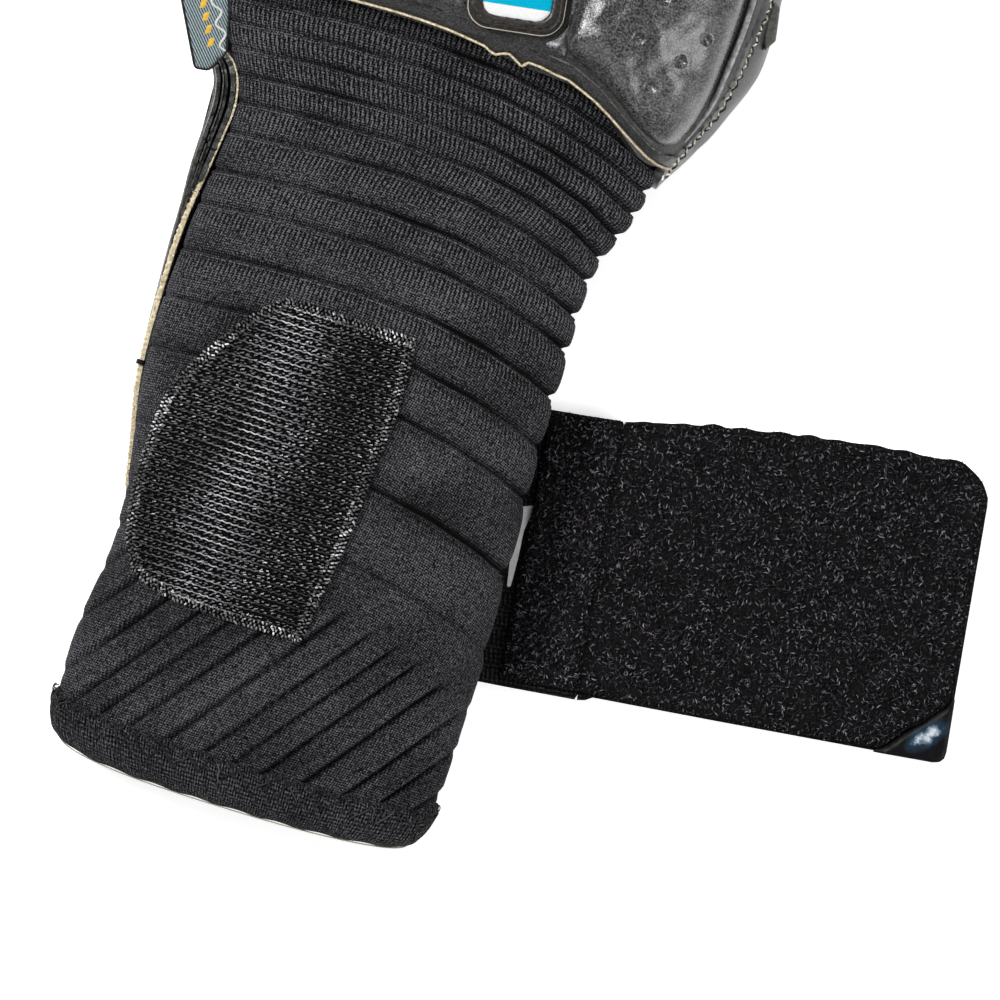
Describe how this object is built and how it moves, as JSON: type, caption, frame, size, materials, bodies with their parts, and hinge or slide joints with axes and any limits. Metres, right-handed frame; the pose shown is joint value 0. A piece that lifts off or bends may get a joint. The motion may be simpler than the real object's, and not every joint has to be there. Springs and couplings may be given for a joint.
{
  "type": "goalkeeper glove",
  "caption": "Right-hand goalkeeper glove lying palm down, with a long ribbed knit cuff, a hook patch, an opened wrist strap that wraps over and closes on it, and fingers that flex.",
  "frame": {"origin": "on the resting plane, on the palm's flat underside, under the middle of the wrist seam", "axes": "+Y from the cuff to the fingertips, +Z out of the back of the hand, +X to the little finger side"},
  "size_m": [0.2224, 0.326, 0.0338],
  "materials": {
    "latex": "matte foam latex",
    "mesh": "air mesh",
    "pu_leather": "grained, satin",
    "raw_edge": "raw cut edge",
    "badge_rubber": "satin",
    "badge_face": "gloss print",
    "knit": "ribbed knit",
    "hook": "monofilament hooks",
    "label": "woven satin",
    "strap_band": "woven band",
    "loop": "loop pile",
    "tpu": "gloss"
  },
  "bodies": {
    "glove": {"palm_latex": "latex", "backhand_lining": "mesh", "gusset_little_side": "mesh", "gusset_thumb_base": "mesh", "gusset_index_side": "mesh", "backhand_panel": "pu_leather", "backhand_edge": "raw_edge", "side_pad": "pu_leather", "knuckle_pad": "pu_leather", "badge_frame": "badge_rubber", "badge_face": "badge_face", "cuff_knit": "knit", "cuff_hem": "knit", "hook_patch": "hook", "wrist_edge": "raw_edge", "wrist_fold": "latex", "woven_label": "label", "strap_anchor": "strap_band"},
    "strap_side": {"strap_band_side": "strap_band", "strap_loop_side": "loop"},
    "strap_end": {"strap_band_end": "strap_band", "strap_loop_end": "loop", "strap_tab": "tpu"},
    "finger_index": {"finger_index_latex": "latex", "finger_index_gusset": "mesh", "finger_index_back": "pu_leather"},
    "finger_middle": {"finger_middle_latex": "latex", "finger_middle_gusset": "mesh", "finger_middle_back": "pu_leather"},
    "finger_ring": {"finger_ring_latex": "latex", "finger_ring_gusset": "mesh", "finger_ring_back": "pu_leather"},
    "finger_little": {"finger_little_latex": "latex", "finger_little_gusset": "mesh", "finger_little_back": "pu_leather"},
    "thumb": {"thumb_latex": "latex", "thumb_gusset": "mesh", "thumb_back": "pu_leather"}
  },
  "joints": [
    {"name": "strap_fold", "type": "hinge", "parent": "glove", "child": "strap_side", "pos_m": [0.0396, -0.0817, 0.0039], "axis": [0.1392, -0.9903, 0], "range_deg": [0, 90]},
    {"name": "strap_wrap", "type": "hinge", "parent": "strap_side", "child": "strap_end", "pos_m": [0.06515, -0.07811, 0.0039], "axis": [0.1392, -0.9903, 0], "range_deg": [0, 90]},
    {"name": "finger_index_flex", "type": "hinge", "parent": "glove", "child": "finger_index", "pos_m": [-0.036, 0.09, 0], "axis": [-0.9945, -0.1045, 0], "range_deg": [0, 60]},
    {"name": "finger_middle_flex", "type": "hinge", "parent": "glove", "child": "finger_middle", "pos_m": [-0.0115, 0.095, 0], "axis": [-0.9997, -0.0262, 0], "range_deg": [0, 60]},
    {"name": "finger_ring_flex", "type": "hinge", "parent": "glove", "child": "finger_ring", "pos_m": [0.013, 0.094, 0], "axis": [-0.9981, 0.061, 0], "range_deg": [0, 60]},
    {"name": "finger_little_flex", "type": "hinge", "parent": "glove", "child": "finger_little", "pos_m": [0.0375, 0.087, 0], "axis": [-0.9877, 0.1564, 0], "range_deg": [0, 60]},
    {"name": "thumb_flex", "type": "hinge", "parent": "glove", "child": "thumb", "pos_m": [-0.045, 0.025, 0], "axis": [-0.788, -0.6157, 0], "range_deg": [0, 40]}
  ],
  "couplings": [
    {"joint": "strap_wrap", "follows": "strap_fold", "ratio": 1}
  ]
}
